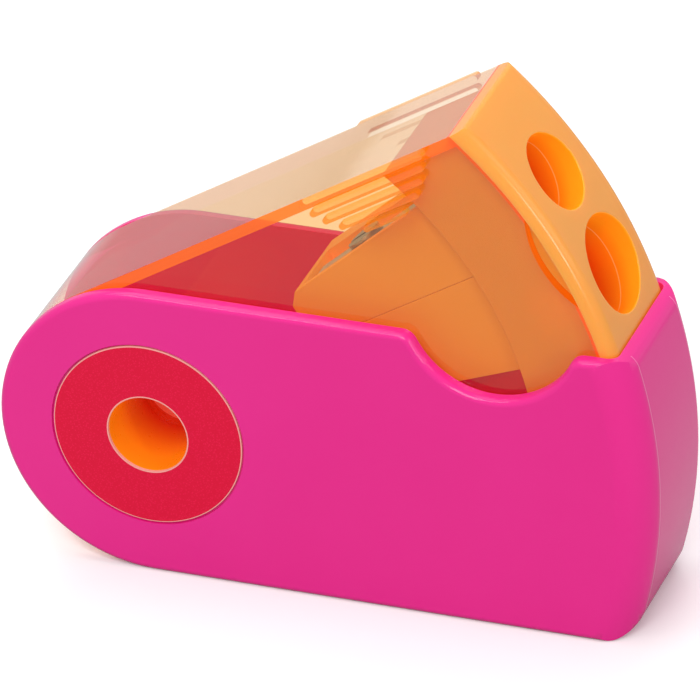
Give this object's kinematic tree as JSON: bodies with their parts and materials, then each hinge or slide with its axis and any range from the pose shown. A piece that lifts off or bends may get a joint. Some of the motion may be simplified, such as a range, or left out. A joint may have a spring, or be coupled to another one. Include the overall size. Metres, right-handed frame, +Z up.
{
  "type": "pencil sharpener",
  "caption": "Sharpener for standard and jumbo pencils whose clear shavings box swings out of a rigid sleeve about a hollow pivot.",
  "frame": {"origin": "middle of the footprint, on the surface the sleeve stands on", "axes": "+Z up, +X from the pivot towards the pencil holes, +Y towards the rear cheek"},
  "size_m": [0.069, 0.0188, 0.055],
  "materials": {
    "sleeve_plastic": "glossy opaque pink",
    "clear_plastic": "clear orange tint",
    "head_plastic": "satin opaque orange",
    "wedge_plastic": "satin opaque orange",
    "bush_plastic": "glossy orange",
    "blade_steel": "ground steel",
    "screw_steel": "plated steel",
    "label_film": "speckled crimson film"
  },
  "bodies": {
    "sleeve_body": {"sleeve": "sleeve_plastic", "pivot_bush_front": "bush_plastic", "pivot_bush_rear": "bush_plastic", "label_ring_front": "label_film", "label_ring_rear": "label_film"},
    "box_body": {"shavings_box": "clear_plastic", "sharpener_head": "head_plastic", "wedge_standard": "wedge_plastic", "wedge_jumbo": "wedge_plastic", "blade_standard": "blade_steel", "blade_jumbo": "blade_steel", "screw_standard": "screw_steel", "screw_jumbo": "screw_steel"}
  },
  "joints": [
    {"name": "box_swing", "type": "hinge", "parent": "sleeve_body", "child": "box_body", "pos_m": [-0.0185, 0, 0.016], "axis": [0, -1, 0], "range_deg": [-31, 149]}
  ]
}
